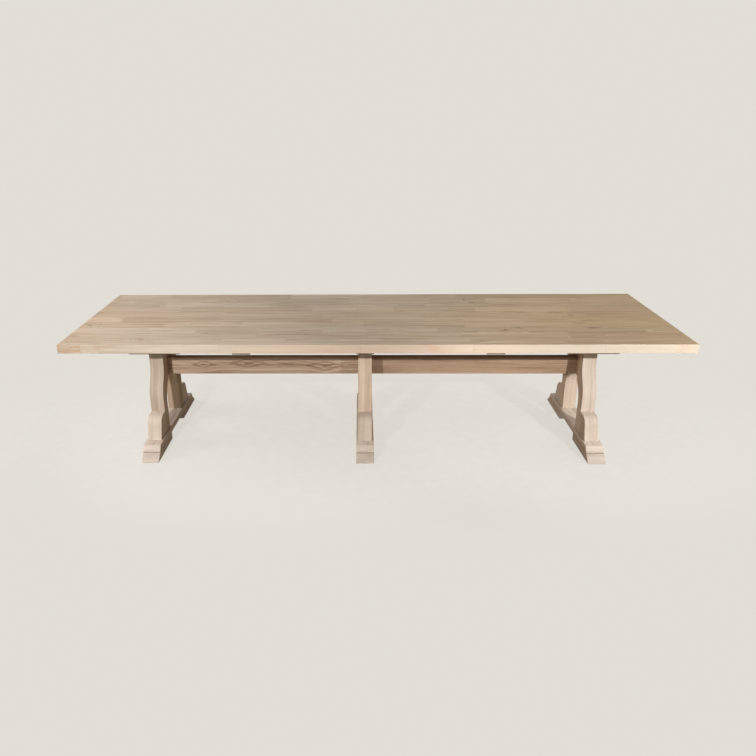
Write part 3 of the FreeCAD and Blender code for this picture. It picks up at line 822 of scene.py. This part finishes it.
# %% Write down the look of each piece
GRAIN_OF_KIND = {
    "bearer": "Y", "batten": "Y", "foot": "Y", "pad": "Y", "leg": "Z", "shoulder": "Z",
    "crosspiece": "Z", "stretcher": "X",
}
PLACES = ("left", "centre", "right")
WARMTH_AND_SHADE = {
    "leg": {"left": (0.28, 0.73), "centre": (0.33, 0.93), "right": (0.06, 0.97)},
    # Painted shade: the left back leg is darker and browner, for the front leg's shadow on it.
    "back_leg": {"left": (0.66, 0.66), "centre": (0.40, 0.90), "right": (0.22, 0.91)},
    "shoulder": {"left": (0.08, 0.91), "centre": (0.11, 0.91), "right": (0.02, 0.93)},
    "pad": {"left": (0.0, 0.84), "centre": (0.05, 0.87), "right": (0.02, 0.82)},
    "foot": {"left": (0.0, 0.90), "centre": (0.03, 0.98), "right": (0.0, 0.96)},
    # Painted shade: the crosspieces are darker, most of all at the left, for the shade in their recess.
    "crosspiece": {"left": (0.50, 0.62), "centre": (0.40, 0.80), "right": (0.40, 0.80)},
    # Painted shade: the bearers are dark for the shade under the top.
    "bearer": {"left": (0.50, 0.50), "centre": (0.50, 0.50), "right": (0.50, 0.50)},
    # Painted shade: the left batten is darker than the right one, for the shade under the top's front
    # edge.
    "batten": {"left": (0.48, 0.52), "right": (0.38, 0.72)},
    "stretcher": {"left": (0.10, 0.93), "right": (0.33, 0.67)},
}
WARMTH_DRIFT = 0.03
SHADE_DRIFT = (0.98, 1.0)
# Painted shade: the sides of the pieces below the top are made browner and darker than their fronts.
PAINTED_SHADE_WARMTH = 0.5
PAINTED_SHADE_DARKENING = 0.92
PLAIN_FIGURE = 0.4
FIGURE_OF_KIND = {"leg": 0.25, "shoulder": 0.25}
FIGURE_OF_STRETCHER = {"left": 0.42, "right": 0.32}


def kind_of(node):
    return next(kind for kind in GRAIN_OF_KIND if kind in node.split("_"))


def looks_of(node, draw):
    """A piece's warmth, shade and figure, and those of its two sides, painted darker and browner as shade.
    """
    kind = kind_of(node)
    place = node.split("_")[-1]
    warmth, shade = WARMTH_AND_SHADE["back_leg" if node.startswith("back_leg") else kind][place]
    warmth = max(0, warmth + draw.uniform(-WARMTH_DRIFT, WARMTH_DRIFT))
    shade = shade * draw.uniform(*SHADE_DRIFT)
    figure = FIGURE_OF_KIND.get(kind, PLAIN_FIGURE)
    if kind == "stretcher":
        figure = FIGURE_OF_STRETCHER[place]
    return (warmth, shade, figure), (min(1, warmth + PAINTED_SHADE_WARMTH), shade * PAINTED_SHADE_DARKENING, figure)


base_nodes = sorted(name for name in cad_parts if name.split("_")[-1] in PLACES)
print(f"{len(base_nodes)} wooden pieces below the top")

# %% Make the other wooden pieces
BASE_EASE = 0.0025
BASE_SEED = 500
STRAIGHT = (0.30, 0.60)
ARCHED = (0.03, 0.06)
LEG_GLUE_TONE = 0.25

for seed, node in enumerate(base_nodes, BASE_SEED):
    kind = kind_of(node)
    work = whole_faces(node)
    ease(work, eased_edges(work), BASE_EASE)
    material = STRETCHER_WOOD if kind == "stretcher" else BASE_WOOD
    piece = wooden_piece(f"{node}_eased", work, node, material)
    draw = random.Random(seed)
    # The second look is painted shade for the piece's sides.
    look, painted_shade_side_look = looks_of(node, draw)
    depths = ARCHED if node == "stretcher_left" else STRAIGHT
    glue_tone = draw.uniform(-LEG_GLUE_TONE, LEG_GLUE_TONE) if kind == "leg" else 0.0
    saw_from_log(piece, GRAIN_OF_KIND[kind], look, depths, seed, glue_tone, painted_shade_side_look)
print(f"{len(base_nodes)} pieces of the base eased")

# %% [markdown]
# ## The pegs
#
# A round peg goes up through each tenon of the stretcher and locks it. Pegs are turned from a harder wood
# and their ends are chamfered so that they start easily in the hole. They are made like the other wooden
# pieces, but only the rims of their ends are eased. A rim lies between an end, which faces up or down, and
# the side.

# %% Make the pegs
PEG_EASE = 0.0008
PEG_SEED = 900
PEG_COLOURS = (shown(206, 172, 134), shown(160, 122, 86), shown(110, 78, 52))
PEG_LOOK = (0.2, 0.95, 0.3)
LEVEL_NORMAL = 0.9


def peg_wood():
    material, start = new_material("turned_peg_wood")
    finish_wood(material, attribute(start, "grain"), NO_KNOTS, PEG_COLOURS)
    return material


def is_rim(edge):
    return sum(abs(face.normal.z) > LEVEL_NORMAL for face in edge.link_faces) == 1


work = whole_faces("tenon_pegs")
rims = [edge for edge in work.edges if is_rim(edge)]
ease(work, rims, PEG_EASE)
pegs = wooden_piece("tenon_pegs_turned", work, "tenon_pegs", peg_wood())
saw_from_log(pegs, "Z", PEG_LOOK, STRAIGHT, PEG_SEED)
print(f"{len(rims)} rim edges eased on the pegs")

# %% [markdown]
# ## The screws
#
# Screws are the one thing here that truly repeats: the same screw at many places. Geometry Nodes suits
# that. The group below builds one screw from simple shapes: a tapered head, a shank, and two small boxes
# cut out of the head as the cross for the driver. The two cuts differ a little in depth, because cuts that
# end in the same plane can leave a boolean's mesh open. The group then sets that screw on every point. The
# points and the sizes are measured on the frame's own solids, so each screw sits in its hole.

# %% Find the places and sizes of the screws
SCREW_NODES = ("top_screws", "pad_screws")
SHANK_TIP = 0.004
SHANK_MARGIN = 1.05


def islands(node):
    """The points of each separate solid in a node."""
    work = merged_copy(node)
    left = dict.fromkeys(work.verts)
    found = []
    while left:
        reached = [left.popitem()[0]]
        group = []
        while reached:
            vertex = reached.pop()
            group.append(vertex.co.copy())
            for edge in vertex.link_edges:
                other = edge.other_vert(vertex)
                if other in left:
                    del left[other]
                    reached.append(other)
        found.append(group)
    work.free()
    return found


def screw_sizes(group):
    """The foot of a screw's axis, its length, the radii of its head and shank, and its head's height."""
    low, high = corners_of(group)
    axis_foot = Vector(((low.x + high.x) / 2, (low.y + high.y) / 2, low.z))
    reach = [(math.hypot(point.x - axis_foot.x, point.y - axis_foot.y), point.z) for point in group]
    shank = max(radius for radius, height in reach if height > high.z - SHANK_TIP)
    head_top = min(height for radius, height in reach if radius < shank * SHANK_MARGIN)
    return axis_foot, high.z - low.z, (high.x - low.x) / 2, shank, head_top - low.z


def mm(length):
    return f"{length * 1000:.1f} mm"


screw_sets = {node: [screw_sizes(group) for group in islands(node)] for node in SCREW_NODES}
for node, screws in screw_sets.items():
    _, length, head, shank, head_height = screws[0]
    print(f"{node}: {len(screws)} screws, {mm(length)} long and {mm(shank * 2)} thick")
    print(f"each head is {mm(head * 2)} wide and {mm(head_height)} high")

# %% Build a screw in Geometry Nodes
SCREW_SIZES = ("Length", "Head Radius", "Head Height", "Shank Radius")
ROUND_STEPS = 24
HEAD_TAPER_SHARE = 0.82
CROSS_LENGTH_SHARE = 1.1
CROSS_WIDTH_SHARE = 0.22
SECOND_CUT_SHARE = 0.9


def head_with_cross(start, head, height):
    """A tapered head with the driver's cross cut into its lower face."""
    shape = start.node("GeometryNodeMeshCone", None, {
        "Vertices": ROUND_STEPS, "Radius Top": head, "Radius Bottom": head * HEAD_TAPER_SHARE,
        "Depth": height})
    long_side = head * CROSS_LENGTH_SHARE
    short_side = head * CROSS_WIDTH_SHARE
    second_height = height * SECOND_CUT_SHARE
    for sides in ((long_side, short_side, height), (short_side, long_side, second_height)):
        size = start.node("ShaderNodeCombineXYZ", None, dict(enumerate(sides)))
        box = start.node("GeometryNodeMeshCube", None, {"Size": size})
        parts = {"Mesh 1": shape, "Mesh 2": box}
        shape = start.node("GeometryNodeMeshBoolean", {"operation": "DIFFERENCE"}, parts)
    return shape


def screw_group():
    """The node group: one screw made from its sizes, and set on every point."""
    group = bpy.data.node_groups.new("screws_on_points", "GeometryNodeTree")
    group.interface.new_socket("Points", in_out="INPUT", socket_type="NodeSocketGeometry")
    for label in SCREW_SIZES:
        group.interface.new_socket(label, in_out="INPUT", socket_type="NodeSocketFloat")
    group.interface.new_socket("Material", in_out="INPUT", socket_type="NodeSocketMaterial")
    group.interface.new_socket("Screws", in_out="OUTPUT", socket_type="NodeSocketGeometry")
    given = group.nodes.new("NodeGroupInput").outputs
    labels = ("Points", *SCREW_SIZES, "Material")
    points, length, head, height, shank, material = (Signal(group, given[label]) for label in labels)
    start = Signal(group)
    shank_shape = start.node("GeometryNodeMeshCylinder", None, {
        "Vertices": ROUND_STEPS, "Radius": shank, "Depth": length - height})
    lift = start.node("ShaderNodeCombineXYZ", None, {2: (length + height) * 0.5})
    lifted = start.node("GeometryNodeTransform", None, {"Geometry": shank_shape, "Translation": lift})
    joined = group.nodes.new("GeometryNodeJoinGeometry")
    for shape in (head_with_cross(start, head, height), lifted):
        group.links.new(shape.socket, joined.inputs[0])
    placed = start.node("GeometryNodeInstanceOnPoints", None, {
        "Points": points, "Instance": Signal(group, joined.outputs[0])})
    real = start.node("GeometryNodeRealizeInstances", None, {"Geometry": placed})
    dressed = start.node("GeometryNodeSetMaterial", None, {"Geometry": real, "Material": material})
    finished = group.nodes.new("NodeGroupOutput")
    group.links.new(dressed.socket, finished.inputs["Screws"])
    return group


SCREWS_ON_POINTS = screw_group()
print(f"{len(SCREWS_ON_POINTS.nodes)} nodes in {SCREWS_ON_POINTS.name}")

# %% [markdown]
# Screws like these are plated with zinc: a soft grey metal with faint clouds, never a mirror. The plating
# is a metal with a rough surface and a little variation in both colour and roughness.

# %% Plate the screws and set them
ZINC_COLOURS = (shown(150, 151, 150), shown(196, 196, 190))
ZINC_CLOUDS = (420.0, 420.0, 420.0)
ZINC_ROUGHNESS = 0.30
CLOUD_ROUGHNESS = 0.22


def screw_steel():
    material, start = new_material("zinc_plated_steel")
    clouds = noise(object_place(start), ZINC_CLOUDS, FINE_DETAIL)
    colour = mixed(clouds, *ZINC_COLOURS)
    rough = ZINC_ROUGHNESS + clouds * CLOUD_ROUGHNESS
    feed(material, {"Base Color": colour, "Roughness": rough}, {"Metallic": 1.0})
    return material


SCREW_STEEL = screw_steel()


def set_screws(node, screws):
    """Evaluate the group on the screws' points and keep the result as a plain mesh."""
    points = bpy.data.meshes.new(f"{node}_points")
    points.from_pydata([screw[0] for screw in screws], [], [])
    carrier = bpy.data.objects.new(f"{node}_points", points)
    SCENE.collection.objects.link(carrier)
    modifier = carrier.modifiers.new("screws", "NODES")
    modifier.node_group = SCREWS_ON_POINTS
    _, length, head, shank, head_height = screws[0]
    values = dict(zip(SCREW_SIZES, (length, head, head_height, shank)), Material=SCREW_STEEL)
    for item in SCREWS_ON_POINTS.interface.items_tree:
        if item.name in values:
            modifier[item.identifier] = values[item.name]
    evaluated = carrier.evaluated_get(bpy.context.evaluated_depsgraph_get())
    mesh = bpy.data.meshes.new_from_object(evaluated)
    bpy.data.objects.remove(carrier)
    piece = add_piece(f"{node}_plated", mesh, node)
    heights = [vertex.co.z for vertex in mesh.vertices]
    print(f"{piece.name}: {len(mesh.polygons)} faces, z {min(heights):.4f} to {max(heights):.4f}")


for node, screws in screw_sets.items():
    set_screws(node, screws)

# %% [markdown]
# ## The stage
#
# The table stands on a plain pale floor that runs back to a background of the same colour. More light
# could make the floor that pale, but it would bleach the table as well. So the camera sees the floor's own
# colour, with a part of its real shading near the table so that the shadow stays. That part fades out in
# an oval round the table, and the floor meets the background without a line. For the light that bounces
# about, the floor is a good deal darker, as a real floor would be under a table in a big room.

# %% Build the stage
FLOOR_SIDE = 60
FLOOR_CORNERS = ((-1, -1), (1, -1), (1, 1), (-1, 1))
BACKGROUND = shown(226, 222, 214)
MOTTLE_COLOURS = (shown(218, 214, 205), shown(234, 230, 223))
MOTTLE_STRETCH = (14.0, 14.0, 14.0)
MOTTLE_DETAIL = 8.0
MOTTLE_SHARE = 0.6
SHADOW_OVAL = (0.55, 1.3, 1.0)
SHADOW_REACH = (1.9, 0.9)
SHADOW_SHARE = 0.14
SHADED_WHITE = shown(252, 249, 243)
BOUNCE_SHADE = shown(178, 170, 158)
FLOOR_SURFACE = {"Roughness": 0.9, "Specular IOR Level": 0.1}


def camera_sees(start):
    """1 for what the camera sees directly, in a reflection or through glass, and 0 for other light."""
    camera_ray, glossy, through_glass = (
        start.node("ShaderNodeLightPath", None, None, output)
        for output in ("Is Camera Ray", "Is Glossy Ray", "Is Transmission Ray")
    )
    return camera_ray.math("MAXIMUM", glossy).math("MAXIMUM", through_glass)


def pale_floor():
    material, start = new_material("pale_floor")
    tree = material.node_tree
    place = object_place(start)
    oval = stretched(place, SHADOW_OVAL)
    distance = oval.node("ShaderNodeVectorMath", {"operation": "LENGTH"}, {0: oval}, "Value")
    near = step(distance, *SHADOW_REACH)
    mottled = mixed(noise(place, MOTTLE_STRETCH, MOTTLE_DETAIL), *MOTTLE_COLOURS)
    seen_colour = mixed(near * MOTTLE_SHARE, BACKGROUND, mottled)
    seen = camera_sees(start)
    feed(material, {"Base Color": mixed(seen, BOUNCE_SHADE, SHADED_WHITE)}, FLOOR_SURFACE)
    shaded = Signal(tree, tree.nodes["Principled BSDF"].outputs[0])
    glow = start.node("ShaderNodeEmission", None, {"Color": seen_colour, "Strength": 1.0})
    share = seen * (1 - near * SHADOW_SHARE)
    blend = start.node("ShaderNodeMixShader", None, {0: share, 1: shaded, 2: glow})
    tree.links.new(blend.socket, tree.nodes["Material Output"].inputs["Surface"])
    return material


floor_mesh = bpy.data.meshes.new("floor")
corners = [(x * FLOOR_SIDE / 2, y * FLOOR_SIDE / 2, cad_low.z) for x, y in FLOOR_CORNERS]
floor_mesh.from_pydata(corners, [], [(0, 1, 2, 3)])
floor_mesh.materials.append(pale_floor())
floor = bpy.data.objects.new("floor", floor_mesh)
SCENE.collection.objects.link(floor)
print(f"floor of {FLOOR_SIDE} m")

# %% [markdown]
# ## The light
#
# Two lamps stand left and right of the camera, at about its height. One large soft light would be simpler,
# but it would wash out the shadows under the top. Each lamp has a hood that keeps it to its own end of the
# table, so the inner sides of the end trestles stay dim. Both stand on the same level, and the top's front
# edge throws one straight shadow along the stretcher. A soft box over the left end brightens that part of
# the top, and one beyond each end reaches the feet under it. A pale sky all round fills the rest.

# %% A pale sky
SKY_WHITE = (1, 1, 1, 1)
SKY_STRENGTH = 0.27

world = bpy.data.worlds.new("sky")
world.use_nodes = True
SCENE.world = world
seen_sky = camera_sees(Signal(world.node_tree))
sky_colour = mixed(seen_sky, SKY_WHITE, BACKGROUND)
sky_level = seen_sky * (1 - SKY_STRENGTH) + SKY_STRENGTH
background = world.node_tree.nodes["Background"]
world.node_tree.links.new(sky_colour.socket, background.inputs["Color"])
world.node_tree.links.new(sky_level.socket, background.inputs["Strength"])
print(f"a sky of {SKY_STRENGTH}")

# %% Lamps and soft boxes
LAMP_RADIUS = 0.03
LAMP_CONE = math.radians(54)
LAMP_BLEND = 0.6
LAMPS = {
    "left_lamp": (Vector((-1.75, -3.2, 1.85)), Vector((-0.55, 0, 0.5)), 338),
    "right_lamp": (Vector((2.57, -3.2, 1.85)), Vector((1.60, 0, 0.5)), 458),
}
SOFT_BOXES = {
    "high_box": (Vector((-2.2, 0.2, 3.2)), Vector((-1.2, 0, 0.76)), 16, 2.0),
    "left_end_box": (Vector((-4.6, -0.3, 2.2)), Vector((-0.9, 0, 0.4)), 95, 1.6),
    "right_end_box": (Vector((4.6, 0.3, 2.2)), Vector((0.9, 0, 0.4)), 50, 1.6),
}


def add_light(name, kind, place, aim, power):
    """A light that stands at one place and points at another."""
    data = bpy.data.lights.new(name, kind)
    data.energy = power
    light = bpy.data.objects.new(name, data)
    light.location = place
    light.rotation_euler = (aim - place).to_track_quat("-Z", "Y").to_euler()
    SCENE.collection.objects.link(light)
    return light


for name, (place, aim, power) in LAMPS.items():
    lamp = add_light(name, "SPOT", place, aim, power)
    lamp.data.shadow_soft_size = LAMP_RADIUS
    lamp.data.spot_size = LAMP_CONE
    lamp.data.spot_blend = LAMP_BLEND
for name, (place, aim, power, side) in SOFT_BOXES.items():
    box = add_light(name, "AREA", place, aim, power)
    box.data.size = side
    box.visible_camera = False
SCENE.view_settings.view_transform = "Standard"
print(f"{len(LAMPS)} lamps and {len(SOFT_BOXES)} soft boxes")
